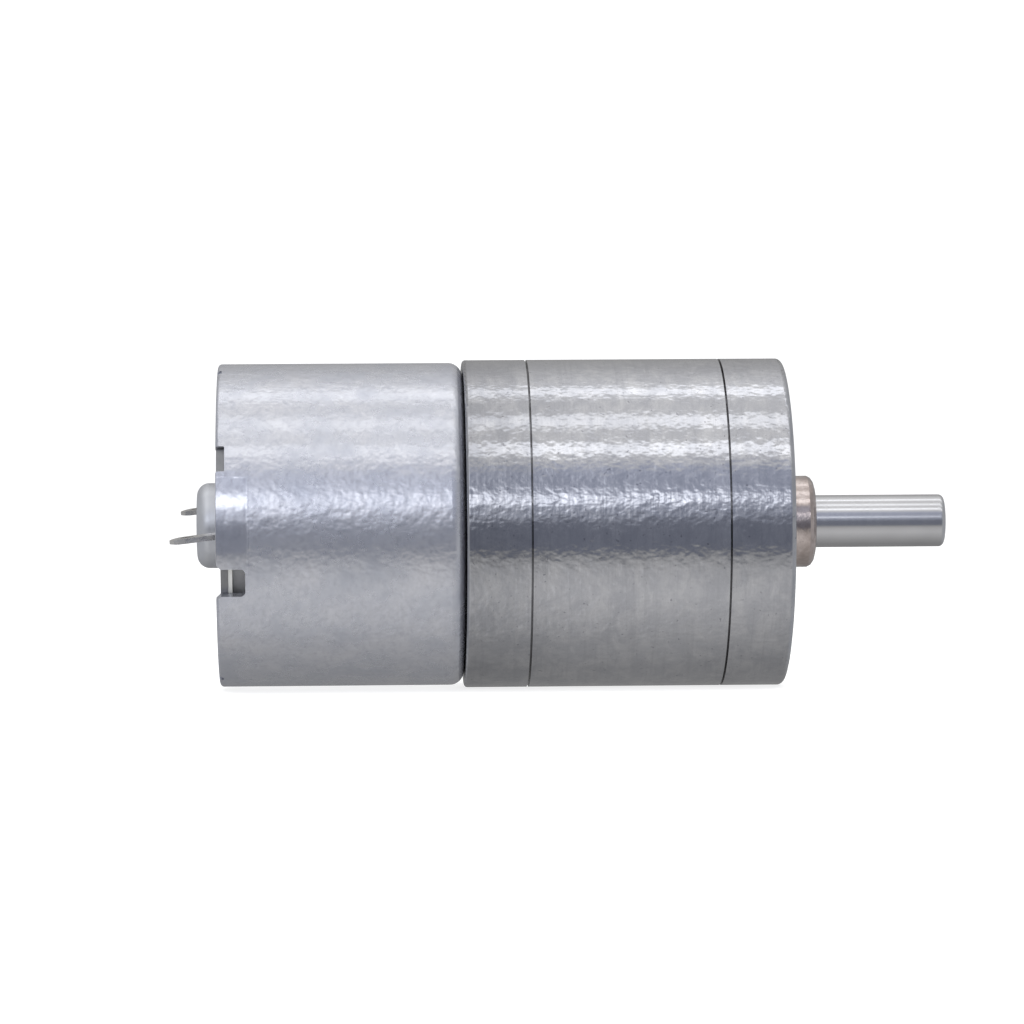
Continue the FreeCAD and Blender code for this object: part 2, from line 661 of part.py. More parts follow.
def make_output_shaft():
    """The ground shaft: tail journal, wheel seat, main journal with an oil groove, and the free D end."""
    wheel_end = D.output_wheel_start + D.output_wheel_width
    seat = D.shaft_radius + 0.5
    groove_end = D.groove_start + D.groove_width
    blank = turned("output_shaft_blank", [
        (D.plate_front - D.plate_thickness, 0.0),
        (D.plate_front - D.plate_thickness, D.tail_radius),
        (D.output_wheel_start - 0.2, D.tail_radius),
        (D.output_wheel_start - 0.2, seat),
        (wheel_end, seat),
        (wheel_end, D.shaft_radius),
        (D.groove_start, D.shaft_radius),
        (D.groove_start, D.shaft_radius - 0.2),
        (groove_end, D.shaft_radius - 0.2),
        (groove_end, D.shaft_radius),
        (D.shaft_end, D.shaft_radius, D.shaft_round),
        (D.shaft_end, 0.0),
    ])
    flat = doc.addObject("Part::Box", "shaft_flat")
    bind(flat, Length=D.flat_length + 1, Width=D.flat_depth + 1, Height=D.shaft_radius * 2 + 2)
    bind(flat, Placement__Base__x=D.shaft_end - D.flat_length, Placement__Base__y=D.shaft_radius - D.flat_depth,
         Placement__Base__z=-D.shaft_radius - 1)
    keep(cut("output_shaft", blank, [flat]))
    washer_start = wheel_end + D.fit_gap
    washer_end = -D.cover_thickness - D.bush_flange_width - D.fit_gap
    keep(ring("output_washer", washer_start, washer_end - washer_start, D.shaft_radius + D.fit_gap, D.bush_flange - 0.4))


def make_pins_and_spacers():
    """The two fixed gear pins, and the sleeves and washers that hold the clusters in place along them."""
    rear = -D.box_length + 0.5
    floor = -D.box_length + D.floor_thickness
    back = D.plate_front - D.plate_thickness
    a, b = pin_place("a"), pin_place("b")
    keep(turned("gear_pin_a", [(rear, 0.0), (rear, D.pin_radius), (D.plate_front, D.pin_radius), (D.plate_front, 0.0)], *a))
    front_end = -D.cover_thickness + 1.5
    keep(turned("gear_pin_b", [(rear, 0.0), (rear, D.pin_radius), (front_end, D.pin_radius), (front_end, 0.0)], *b))
    inner = D.pin_radius + D.fit_gap
    play = 0.1
    first = D.first_wheel_start
    cluster = D.wheel_width + D.cluster_pinion_length
    fourth_end = first + D.stage_pitch * 3 + D.wheel_width + D.last_pinion_length
    spans = {
        "sleeve_a": (floor, first - play, a),
        "washer_a": (first + cluster + play, first + D.stage_pitch * 2 - play, a),
        "end_washer_a": (first + D.stage_pitch * 2 + cluster + play, back, a),
        "sleeve_b": (floor, first + D.stage_pitch - play, b),
        "washer_b": (first + D.stage_pitch + cluster + play, first + D.stage_pitch * 3 - play, b),
        "end_washer_b": (fourth_end + play, -D.cover_thickness, b),
    }
    members = [ring(name, start, end - start, inner, D.washer_radius, *place)
               for name, (start, end, place) in spans.items()]
    keep(grouped("pin_spacers", members))


def make_screws():
    """Three long countersunk screws through the gearbox, and two short ones that hold the motor."""
    long_screws = []
    for i, angle in enumerate(HOUSING_SCREW_ANGLES):
        y, z = polar(D.screw_circle, angle)
        blank = turned(f"housing_screw_{i}_blank", [
            (D.screw_end, 0.0),
            (D.screw_end, D.screw_radius - 0.2),
            (D.screw_end + 0.2, D.screw_radius),
            (-D.screw_head_height, D.screw_radius),
            (-0.02, D.screw_head),
            (-0.02, 0.0),
        ], y, z)
        long_screws.append(with_cross_recess(f"housing_screw_{i}", blank, -0.02, D.screw_head * 0.6, 0.4, y, z, angle))
    keep(grouped("housing_screws", long_screws))
    short_screws = []
    top = -D.box_length + D.floor_thickness - 0.02
    for side, angle in (("left", 0.0), ("right", 180.0)):
        y, z = polar(D.motor_screw_circle, angle)
        end = -D.box_length - D.can_wall
        blank = turned(f"motor_screw_{side}_blank", [
            (end, 0.0),
            (end, D.motor_screw_radius),
            (top - D.motor_screw_radius + 0.06, D.motor_screw_radius),
            (top, D.motor_screw_radius * 2 - 0.06),
            (top, 0.0),
        ], y, z)
        short_screws.append(with_cross_recess(f"motor_screw_{side}", blank, top, D.motor_screw_radius * 1.1, 0.5, y, z, angle))
    keep(grouped("motor_screws", short_screws))


def with_cross_recess(name, blank, face, reach, depth, y, z, angle):
    """Cuts a cross into the head of a screw; reach is from the middle to the end of an arm."""
    face, reach = as_length(face), as_length(reach)
    arms = []
    for arm, (width, height) in enumerate(((reach * 2, reach * 0.4), (reach * 0.4, reach * 2))):
        slot = doc.addObject("Part::Box", f"{name}_arm_{arm}")
        bind(slot, Length=depth + 0.5, Width=width, Height=height)
        bind(slot, Placement__Base__x=face - depth, Placement__Base__y=y - width / 2, Placement__Base__z=z - height / 2)
        arms.append(slot)
    return cut(name, blank, [fused(f"{name}_cross", arms)])


# ---------------------------------------------------------------- motor


def make_motor_can():
    """The drawn can: rounded shoulder, bearing boss, screw holes, and the notched rim at the open end."""
    front = -D.box_length - 0.02
    rim = -D.box_length - D.can_length
    floor = front - D.can_wall
    inside = D.can_radius - D.can_wall
    blank = turned("motor_can_blank", [
        (rim, inside),
        (rim, D.can_radius, 0.3),
        (front, D.can_radius, D.can_shoulder),
        (front, D.can_boss_radius),
        (front + D.can_boss_length, D.can_boss_radius, 0.3),
        (front + D.can_boss_length, 1.5),
        (front + D.can_boss_length - 0.6, 1.5),
        (front + D.can_boss_length - 0.6, D.can_boss_radius - 0.6),
        (floor, D.can_boss_radius - 0.6),
        (floor, inside, 0.4),
    ])
    pads = [
        computed(f"pressed_pad_{i}", arc_segment(
            rim.value + 0.05, D.pad_length.value, inside.value + 0.1, D.can_radius.value + D.pad_height.value,
            turn + (D.deep_angle.value - D.shallow_angle.value) / 2, D.pad_arc.value))
        for i, turn in enumerate((180.0, 0.0))
    ]
    blank = fused("motor_can_with_pads", [blank, *pads])
    cutters = []
    for i, turn in enumerate((180.0, 0.0)):
        shallow_angle = as_length(turn) - D.shallow_angle
        deep_angle = as_length(turn) + D.deep_angle
        cutters.append(rim_notch(f"lug_notch_{i}", shallow_angle, D.shallow_width, D.shallow_notch, 0.08, 0.06))
        cutters.append(rim_notch(f"open_notch_{i}", deep_angle, D.deep_width, D.deep_notch, D.notch_round, D.notch_flare))
        for side, stake_angle in (("low", as_length(turn) + D.stake_angle), ("high", as_length(turn) - D.stake_angle)):
            cutters.append(block_at_angle(f"stake_nick_{i}_{side}", rim - 1, 1.35, D.stake_width,
                                          D.can_radius - 0.35, D.can_radius + 0.5, stake_angle))
        y, z = polar(D.motor_screw_circle, turn)
        cutters.append(rod(f"can_thread_{i}", floor - 1, 3, D.motor_screw_radius + D.fit_gap, y, z))
    keep(cut("motor_can", blank, cutters))


def make_end_plate():
    """The steel plate that closes the can: a drawn bearing cap, two lugs in the rim and terminal slots."""
    rim = -D.box_length - D.can_length
    outer_face = rim + D.plate_inset
    inner_face = outer_face + D.end_plate_thickness
    top = outer_face - D.cap_height
    sheet = D.end_plate_thickness
    disc = turned("end_plate_disc", [
        (top, 0.0),
        (top, D.cap_radius, D.cap_round),
        (outer_face, D.cap_radius),
        (outer_face, D.can_radius - D.can_wall - D.fit_gap),
        (inner_face, D.can_radius - D.can_wall - D.fit_gap),
        (inner_face, D.cap_radius - sheet),
        (top + sheet, D.cap_radius - sheet),
        (top + sheet, 0.0),
    ])
    lugs = []
    for i, turn in enumerate((180.0, 0.0)):
        angle = as_length(turn) - D.shallow_angle
        lugs.append(block_at_angle(f"end_plate_lug_{i}", rim + 0.05, D.shallow_notch - 0.07, D.shallow_width - 0.16,
                                   D.holder_radius, D.can_radius - 0.45, angle))
    plate = fused("end_plate_with_lugs", [disc, *lugs])
    slots = [terminal_opening("terminal_slot", side, D.plate_inset, D.end_plate_thickness, 0.35) for side in TERMINALS]
    keep(cut("end_plate", plate, slots))


def make_insulation_and_holder():
    """The light insulating disc under the end plate, and the moulded holder that carries the brushes."""
    rim = -D.box_length - D.can_length
    disc_depth = D.plate_inset + D.end_plate_thickness + D.fit_gap
    hole = D.cap_radius + 0.2
    slots = [terminal_opening("insulator_slot", side, disc_depth, D.insulator_thickness, 0.03) for side in TERMINALS]
    disc = ring("insulator_disc_blank", rim + disc_depth, D.insulator_thickness, hole,
                D.can_radius - D.can_wall - D.fit_gap * 2)
    keep(cut("insulator_disc", disc, slots))
    holder_depth = disc_depth + D.insulator_thickness + D.fit_gap
    start = rim + holder_depth
    floor_end = start + D.holder_thickness
    skirt_end = floor_end + 2.4
    blank = turned("brush_holder_cup", [
        (start, hole),
        (start, D.holder_radius),
        (skirt_end, D.holder_radius),
        (skirt_end, D.holder_radius - 0.9),
        (floor_end, D.holder_radius - 0.9),
        (floor_end, hole),
    ])
    slots = [terminal_opening("holder_slot", side, holder_depth, D.holder_thickness, 0.03) for side in TERMINALS]
    keep(cut("brush_holder", blank, slots))


def terminal_opening(name, side, depth, thickness, margin):
    """A slot for a leaning terminal through a layer that starts at a depth below the rim."""
    reach_side, height = TERMINALS[side]
    slope = math.tan(math.radians(D.terminal_slope.value))
    roll = math.sin(math.radians(D.terminal_roll.value))
    slot = doc.addObject("Part::Box", f"{name}_{side}")
    width = D.terminal_width + margin * 2
    tall = D.terminal_thickness * 1.02 + D.terminal_width * roll + thickness * slope + margin * 2
    middle = height + (depth + thickness / 2) * slope
    bind(slot, Length=thickness + 2, Width=width, Height=tall)
    bind(slot, Placement__Base__x=-D.box_length - D.can_length + depth - 1,
         Placement__Base__y=D.terminal_offset * reach_side - width / 2, Placement__Base__z=middle - tall / 2)
    return slot


def make_terminals():
    """Two flat solder tabs with an eye near the tip, tapering outwards and leaning down."""
    root = D.plate_inset + D.end_plate_thickness + D.insulator_thickness + D.holder_thickness + 0.4
    half, tip_half = D.terminal_width / 2, D.terminal_width * 0.22
    for side, reach in (("near", D.near_reach), ("far", D.far_reach)):
        reach_side, height = TERMINALS[side]
        body = new_body(f"terminal_{side}")
        sketch = sketch_on(body, "outline", "XY_Plane")
        eye = -reach + 1.35
        draw_outline(sketch, [
            (-reach, -tip_half),
            (-reach + 0.35, -half * 0.82),
            (-reach + 1.3, -half),
            (root, -half),
            (root, half),
            (-reach + 1.3, half),
            (-reach + 0.35, half * 0.82),
            (-reach, tip_half),
        ])
        circle = sketch.addGeometry(Part.Circle(FreeCAD.Vector(eye.value, 0, 0), FreeCAD.Vector(0, 0, 1), 0.5))
        bind_constraint(sketch, ["Radius", circle], D.terminal_width * 0.24)
        fix_point(sketch, circle, 3, eye, Length(0, "0"))
        tab = body.newObject("PartDesign::Pad", f"terminal_{side}_tab")
        tab.Profile = sketch
        tab.Midplane = True
        bind(tab, Length=D.terminal_thickness)
        thickness = D.terminal_thickness
        profile = sketch_on(body, "taper", "XZ_Plane")
        for above in (1, -1):
            draw_outline(profile, [
                (-reach - 0.1, thickness * 0.26 * above),
                (-reach + 0.15, thickness * 0.36 * above),
                (-reach + 1.1, thickness * 0.6 * above),
                (-reach + 1.1, thickness * above),
                (-reach - 0.1, thickness * above),
            ])
        taper = body.newObject("PartDesign::Pocket", f"terminal_{side}_taper")
        taper.Profile = profile
        taper.Midplane = True
        bind(taper, Length=D.terminal_width * 2)
        lean = FreeCAD.Rotation(FreeCAD.Vector(0, 1, 0), -D.terminal_slope.value)
        roll = FreeCAD.Rotation(AXIS_X, D.terminal_roll.value)
        body.Placement = FreeCAD.Placement(ORIGIN, lean * roll)
        bind(body, Placement__Base__x=-D.box_length - D.can_length, Placement__Base__y=D.terminal_offset * reach_side,
             Placement__Base__z=height)
        keep(body)


def make_brushes():
    """Two leaf-spring arms, each with a carbon brush that bears on the commutator."""
    rim = -D.box_length - D.can_length
    holder_floor = rim + D.plate_inset + D.end_plate_thickness + D.insulator_thickness + D.holder_thickness + 0.04
    brush_x = D.commutator_start + 0.3
    touch = D.commutator_radius + 0.04
    arms, carbons = [], []
    for side, sign in (("near", -1), ("far", 1)):
        carbon = doc.addObject("Part::Box", f"carbon_{side}")
        bind(carbon, Length=1.6, Width=1.1, Height=1.4)
        first = as_length(touch) if sign > 0 else -touch - 1.1
        bind(carbon, Placement__Base__x=brush_x, Placement__Base__y=first, Placement__Base__z=-0.7)
        carbons.append(carbon)
        arm = doc.addObject("Part::Box", f"leaf_{side}")
        bind(arm, Length=1.6, Width=0.2, Height=5.5)
        outer = touch + 1.12 if sign > 0 else -touch - 1.32
        bind(arm, Placement__Base__x=brush_x, Placement__Base__y=outer, Placement__Base__z=-0.7 if sign < 0 else -4.8)
        foot = doc.addObject("Part::Box", f"leaf_foot_{side}")
        foot_z = as_length(4.6) if sign < 0 else as_length(-4.8)
        foot_y = outer if sign > 0 else outer - 1.8
        bind(foot, Length=brush_x + 1.6 - holder_floor, Width=2.0, Height=0.2)
        bind(foot, Placement__Base__x=holder_floor, Placement__Base__y=foot_y, Placement__Base__z=foot_z)
        arms.append(fused(f"brush_leaf_{side}", [arm, foot]))
    keep(grouped("brush_leaves", arms), grouped("carbon_brushes", carbons))


def make_bearings():
    """Sintered bushes for the motor shaft: one in the can's boss, one in the end plate's cap."""
    front = -D.box_length - 0.02 + D.can_boss_length - 0.6 - 0.02
    inner = D.rotor_shaft + D.run_gap
    keep(ring("front_bearing", front - 1.25, 1.25, inner, D.can_boss_radius - 0.6 - D.fit_gap))
    cap_floor = -D.box_length - D.can_length + D.plate_inset - D.cap_height + D.end_plate_thickness
    keep(ring("rear_bearing", cap_floor + 0.3, 1.6, inner, D.cap_radius - D.end_plate_thickness - D.fit_gap))


def arc_segment(start, length, inner, outer, middle, degrees):
    """A curved block round the X axis between two radii, centred at an angle."""
    shape = Part.makeCylinder(outer, length, FreeCAD.Vector(start, 0, 0), AXIS_X, degrees)
    hole = Part.makeCylinder(inner, length + 2, FreeCAD.Vector(start - 1, 0, 0), AXIS_X)
    shape = shape.cut(hole).Solids[0]
    centre = shape.CenterOfMass
    shape.rotate(ORIGIN, AXIS_X, middle - math.degrees(math.atan2(centre.z, centre.y)))
    return shape


def make_magnets():
    """Two arc magnets and the two bow clips that wedge them apart."""
    outer = D.can_radius.value - D.can_wall.value - D.fit_gap.value
    length, start = D.magnet_length.value, D.magnet_start.value
    for name, middle in (("magnet_upper", 90.0), ("magnet_lower", 270.0)):
        keep(computed(name, arc_segment(start, length, D.magnet_inner.value, outer, middle, D.magnet_arc.value)))
    gap = 180.0 - D.magnet_arc.value
    clips = [arc_segment(start, length - 1, outer - 0.5, outer, middle, gap - 2) for middle in (0.0, 180.0)]
    keep(computed("magnet_clips", Part.makeCompound(clips)))


def make_armature():
    """The laminated core with its poles, one coil round each pole, end insulators and the shaft."""
    poles = int(D.pole_count.value)
    angles = [360.0 * i / poles for i in range(poles)]
    neck, shoe, hub = 2.4, 1.3, 2.3
    radius, start = D.rotor_radius.value, D.rotor_start.value
    shaft_hole = D.rotor_shaft.value + D.fit_gap.value
    count, thickness = int(D.lamination_count.value), D.lamination.value

    def pole_star(x, length, grow):
        """The outline of a lamination, grown outwards a little for the end insulators."""
        star = Part.makeCylinder(hub + grow, length, FreeCAD.Vector(x, 0, 0), AXIS_X)
        for angle in angles:
            spoke = Part.makeBox(length, radius - shoe / 2, neck + 2 * grow, FreeCAD.Vector(x, 0, -neck / 2 - grow))
            spoke.rotate(ORIGIN, AXIS_X, angle)
            face = arc_segment(x, length, radius - shoe - grow, radius, angle, 104.0)
            star = star.fuse([spoke, face])
        hole = Part.makeCylinder(shaft_hole, length + 2, FreeCAD.Vector(x - 1, 0, 0), AXIS_X)
        return star.cut(hole).removeSplitter()

    sheet = pole_star(0.0, thickness, 0.0)
    stack = []
    for i in range(count):
        lamination = sheet.copy()
        lamination.translate(FreeCAD.Vector(start + i * D.lamination_pitch.value, 0, 0))
        stack.append(lamination)
    keep(computed("armature_laminations", Part.makeCompound(stack)))
    end = start + (count - 1) * D.lamination_pitch.value + thickness
    insulator = 0.4
    insulators = [pole_star(x, insulator, 0.1) for x in (start - insulator - 0.02, end + 0.02)]
    keep(computed("armature_insulators", Part.makeCompound(insulators)))

    coils = []
    overhang, half_width, low, high = 1.9, 2.95, 2.75, 5.75
    inner_half = neck / 2 + 0.15
    for angle in angles:
        coil = Part.makeBox(end - start + 2 * overhang, high - low, 2 * half_width,
                            FreeCAD.Vector(start - overhang, low, -half_width))
        upright = [e for e in coil.Edges if abs(e.tangentAt(e.FirstParameter).y) > 0.9]
        coil = coil.makeFillet(1.2, upright)
        window = Part.makeBox(end - start + 2 * insulator + 0.1, high, 2 * inner_half,
                              FreeCAD.Vector(start - insulator - 0.05, low - 1, -inner_half))
        coil = coil.cut(window)
        coil.rotate(ORIGIN, AXIS_X, angle)
        coils.append(coil)
    keep(computed("armature_coils", Part.makeCompound(coils)))


def make_rotor_fittings():
    """The motor shaft, commutator, varistor ring and thrust washers."""
    front = D.motor_pinion_start + D.motor_pinion_length + 0.1
    rear = -D.box_length - D.can_length + D.plate_inset - D.cap_height + D.end_plate_thickness + 0.2
    keep(turned("motor_shaft", [
        (rear, 0.0),
        (rear, D.rotor_shaft - 0.15),
        (rear + 0.15, D.rotor_shaft),
        (front - 0.15, D.rotor_shaft),
        (front, D.rotor_shaft - 0.15),
        (front, 0.0),
    ]))
    start, length = D.commutator_start, D.commutator_length
    copper = D.commutator_radius - 0.45
    keep(ring("commutator_hub", start, length + 0.6, D.rotor_shaft + D.fit_gap, copper - 0.01))
    segments = [arc_segment(start.value, length.value, copper.value, D.commutator_radius.value,
                            60.0 + 360.0 * i / int(D.pole_count.value), 360.0 / int(D.pole_count.value) - 8)
                for i in range(int(D.pole_count.value))]
    keep(computed("commutator_segments", Part.makeCompound(segments)))
    varistor_start = start + length - 0.75
    keep(ring("varistor_ring", varistor_start, 0.7, D.commutator_radius + D.fit_gap, D.commutator_radius + 1.5))
    inner, outer = D.rotor_shaft + D.fit_gap, D.rotor_shaft + 0.9
    bearing_rear = -D.box_length - 0.02 + D.can_boss_length - 0.6 - 0.02 - 1.25
    cap_floor = -D.box_length - D.can_length + D.plate_inset - D.cap_height + D.end_plate_thickness
    washers = [
        ring("front_thrust_washer", bearing_rear - 0.35, 0.25, inner, outer),
        ring("rear_thrust_washer", cap_floor + 0.3 + 1.6 + 0.08, 0.25, inner, outer),
    ]
    keep(grouped("thrust_washers", washers))


# ---------------------------------------------------------------- the whole


def check_and_write():
    """Stops on any failed object or unsound shape, then writes one file for each sub-part."""
    doc.recompute()
    for thing in doc.Objects:
        if {"Invalid", "Error"} & set(thing.State):
            raise RuntimeError(f"{thing.Name} failed: {thing.State}")
    os.makedirs("parts", exist_ok=True)
    for label, part in subparts.items():
        shape = part.Shape
        if shape.isNull() or not shape.isValid() or not shape.Solids:
            raise RuntimeError(f"{label} has no sound solid")
        shape.exportStep(os.path.join("parts", f"{label}.step"))
    print(len(subparts), "sub-parts")


make_rear_housing()
make_gear_housing()
make_front_cover()
make_support_plate()
make_output_bush()
make_output_shaft()
make_pins_and_spacers()
make_screws()
make_gear_train()
make_motor_can()
make_end_plate()
make_insulation_and_holder()
make_terminals()
make_brushes()
make_bearings()
make_magnets()
make_armature()
make_rotor_fittings()
check_and_write()
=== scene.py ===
"""Looks of the geared DC motor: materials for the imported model, a plain studio and the camera."""

import json
import math

import bpy
from mathutils import Matrix, Vector


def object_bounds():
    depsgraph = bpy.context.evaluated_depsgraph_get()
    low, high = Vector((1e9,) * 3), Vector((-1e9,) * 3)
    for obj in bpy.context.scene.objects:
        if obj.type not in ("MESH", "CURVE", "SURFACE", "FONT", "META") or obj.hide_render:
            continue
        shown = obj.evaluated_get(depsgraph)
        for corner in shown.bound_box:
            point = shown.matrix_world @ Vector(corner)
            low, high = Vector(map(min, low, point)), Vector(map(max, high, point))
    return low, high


MM = 0.001

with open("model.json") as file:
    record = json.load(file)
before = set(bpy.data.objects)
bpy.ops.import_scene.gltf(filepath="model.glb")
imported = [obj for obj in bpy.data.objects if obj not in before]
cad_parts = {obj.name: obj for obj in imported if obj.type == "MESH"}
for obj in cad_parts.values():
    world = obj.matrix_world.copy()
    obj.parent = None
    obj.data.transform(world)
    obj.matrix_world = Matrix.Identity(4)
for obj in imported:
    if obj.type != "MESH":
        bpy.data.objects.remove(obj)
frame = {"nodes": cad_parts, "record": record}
cad_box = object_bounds()
scene = bpy.context.scene

# Places on the motor, whose X axis starts at the gearbox's front face and runs out along the shaft.
SEAMS_X = (-4.84 * MM, -19.56 * MM)  # front cover to gear housing, and gear housing to rear housing
# The rest are pairs, from where a change of the look begins to where it is complete.
SEAM_SHADE_WIDTH = (0.2 * MM, 0.4 * MM)  # painted seam shade, to either side of a seam
SEAM_SHADE_RADIUS = (12.42 * MM, 12.47 * MM)  # painted seam shade below these radii; the shells' outside is at 12.5 mm
COVER_X = (-4.95 * MM, -4.75 * MM)  # the back edge of the front cover
REAR_X = (-24.0 * MM, -16.0 * MM)  # from the motor's end of the rear housing into the gear housing
PAD_X = (-40.70 * MM, -40.55 * MM)  # the front edge of the can's pressed pads
PAD_Z = (3.5 * MM, 3.65 * MM)  # their upper and lower edges
PLATE_SHADE_RADIUS = (10.8 * MM, 11.2 * MM)  # where the painted shade of the can's notches begins on the end plate's sheared edge and lugs

# Grain of a metal, as factors on its cells per millimetre along X, Y and Z.
EVEN = (1.0, 1.0, 1.0)
ALONG_AXIS = (0.4, 2.0, 2.0)
ROUND_AXIS = (4.0, 0.4, 0.4)


# ---------------------------------------------------------------- shader helpers


class Graph:
    """Adds nodes to a tree; an input given as a socket is linked, any other is set as a value."""

    def __init__(self, tree):
        self.tree = tree

    def add(self, kind, inputs=None, **settings):
        node = self.tree.nodes.new(kind)
        for name, value in settings.items():
            setattr(node, name, value)
        for key, value in (inputs or {}).items():
            if isinstance(value, bpy.types.NodeSocket):
                self.tree.links.new(value, node.inputs[key])
            else:
                node.inputs[key].default_value = value
        return node

    def compute(self, operation, *values):
        return self.add("ShaderNodeMath", dict(enumerate(values)), operation=operation).outputs[0]

    def remap(self, value, low, high, to_low, to_high):
        """The value moved from one range to another and kept inside it."""
        inputs = {
            "Value": value, "From Min": low, "From Max": high, "To Min": to_low, "To Max": to_high,
        }
        return self.add("ShaderNodeMapRange", inputs).outputs["Result"]

    def mix(self, factor, first, second):
        inputs = {0: factor, 6: first, 7: second}
        return self.add("ShaderNodeMix", inputs, data_type="RGBA").outputs[2]

    def mix_value(self, factor, first, second):
        return self.add("ShaderNodeMix", {0: factor, 2: first, 3: second}).outputs[0]


class Finish(Graph):
    """A material with one Principled shader, whose bumps are added up in millimetres."""

    def __init__(self, name, colour, metallic, roughness, **constants):
        self.material = bpy.data.materials.new(name)
        self.material.use_nodes = True
        super().__init__(self.material.node_tree)
        self.shader = self.tree.nodes["Principled BSDF"]
        self.point = self.add("ShaderNodeTexCoord").outputs["Object"]
        self.height = None
        self.colour = (*colour, 1.0)
        self.shader.inputs["Metallic"].default_value = metallic
        self.shader.inputs["Roughness"].default_value = roughness
        for socket, value in constants.items():
            self.shader.inputs[socket].default_value = value

    def noise(self, cells_per_mm, detail=3.0, roughness=0.55, distortion=0.0, shift=0.0):
        """Noise whose cell counts per millimetre may differ along X, Y and Z."""
        if not isinstance(cells_per_mm, tuple):
            cells_per_mm = (cells_per_mm,) * 3
        scale = tuple(cells / MM for cells in cells_per_mm)
        placing = {"Vector": self.point, "Location": (shift,) * 3, "Scale": scale}
        moved = self.add("ShaderNodeMapping", placing)
        inputs = {
            "Vector": moved.outputs[0], "Scale": 1.0, "Detail": detail,
            "Roughness": roughness, "Distortion": distortion,
        }
        return self.add("ShaderNodeTexNoise", inputs).outputs["Fac"]

    def place(self, axis):
        """One coordinate of the point, in metres."""
        return self.add("ShaderNodeSeparateXYZ", {0: self.point}).outputs[axis]

    def radius(self):
        """The point's distance from the motor's axis, in metres."""
        squares = (self.compute("POWER", self.place(axis), 2.0) for axis in "YZ")
        return self.compute("SQRT", self.compute("ADD", *squares))

    def bump(self, pattern, millimetres):
        """Raises the surface by a pattern that runs from 0 to 1."""
        lift = self.compute("MULTIPLY", pattern, millimetres * MM)
        self.height = lift if self.height is None else self.compute("ADD", self.height, lift)

    def tone(self, pattern, other, low=0.35, high=0.65, amount=1.0):
        """Mixes another colour in as the pattern goes from low to high."""
        factor = self.remap(pattern, low, high, 0.0, amount)
        self.colour = self.mix(factor, self.colour, (*other, 1.0))

    def tint(self, factor):
        """Darkens the colour by a factor."""
        self.colour = self.mix(factor, (0.0, 0.0, 0.0, 1.0), self.colour)

    def rough(self, pattern, low, high):
        """Lets the roughness follow a pattern."""
        self.rough_from(self.remap(pattern, 0.3, 0.7, low, high))

    def rough_from(self, value):
        self.tree.links.new(value, self.shader.inputs["Roughness"])

    def done(self):
        self.tree.links.new(self.colour, self.shader.inputs["Base Color"])
        if self.height is not None:
            inputs = {"Height": self.height, "Strength": 1.0, "Distance": 1.0}
            bump = self.add("ShaderNodeBump", inputs)
            self.tree.links.new(bump.outputs[0], self.shader.inputs["Normal"])
        return self.material


# ---------------------------------------------------------------- materials


def turned_shell_steel():
    """Fine lathe rings round the axis, under a dull plating that breaks up the reflections.

    The rear housing and the front cover are a little darker, and the seams between the shells
    have painted shade in their depth.
    """
    finish = Finish("turned_shell_steel", (0.50, 0.505, 0.535), 1.0, 0.2)
    rings = finish.noise((3.6, 0.16, 0.16), detail=3.0)
    peel = finish.noise((1.6, 1.9, 1.9), detail=1.0, shift=12.0)
    sparkle = finish.noise((3.0, 3.2, 3.2), detail=1.0, shift=31.0)
    mottle = finish.noise((0.9, 1.3, 1.3), detail=2.0)
    clouds = finish.noise(0.16, detail=3.0, shift=3.0)
    blotches = finish.noise((0.8, 0.5, 0.5), detail=4.0, roughness=0.65, distortion=0.5, shift=7.0)
    specks = finish.noise(3.4, detail=2.0, shift=20.0)
    finish.tone(clouds, (0.44, 0.445, 0.475), 0.35, 0.7)
    finish.tone(blotches, (0.60, 0.60, 0.62), 0.42, 0.68, 0.8)
    finish.tone(rings, (0.37, 0.375, 0.40), 0.5, 0.75, 0.3)
    finish.tone(specks, (0.20, 0.20, 0.23), 0.68, 0.74, 0.6)
    finish.tint(finish.remap(finish.place("X"), *REAR_X, 0.80, 1.0))
    finish.tint(finish.remap(finish.place("X"), *COVER_X, 1.0, 0.965))
    # Painted shade in the depth of the seams between the shells.
    depth = finish.remap(finish.radius(), *SEAM_SHADE_RADIUS, 1.0, 0.0)
    for seam in SEAMS_X:
        away = finish.compute("ABSOLUTE", finish.compute("SUBTRACT", finish.place("X"), seam))
        seam_shade = finish.compute("MULTIPLY", finish.remap(away, *SEAM_SHADE_WIDTH, 1.0, 0.0), depth)
        finish.tint(finish.remap(seam_shade, 0.0, 1.0, 1.0, 0.30))
    finish.rough(clouds, 0.12, 0.18)
    finish.bump(rings, 0.0045)
    finish.bump(peel, 0.0250)
    finish.bump(sparkle, 0.0060)
    finish.bump(mottle, 0.0120)
    return finish.done()


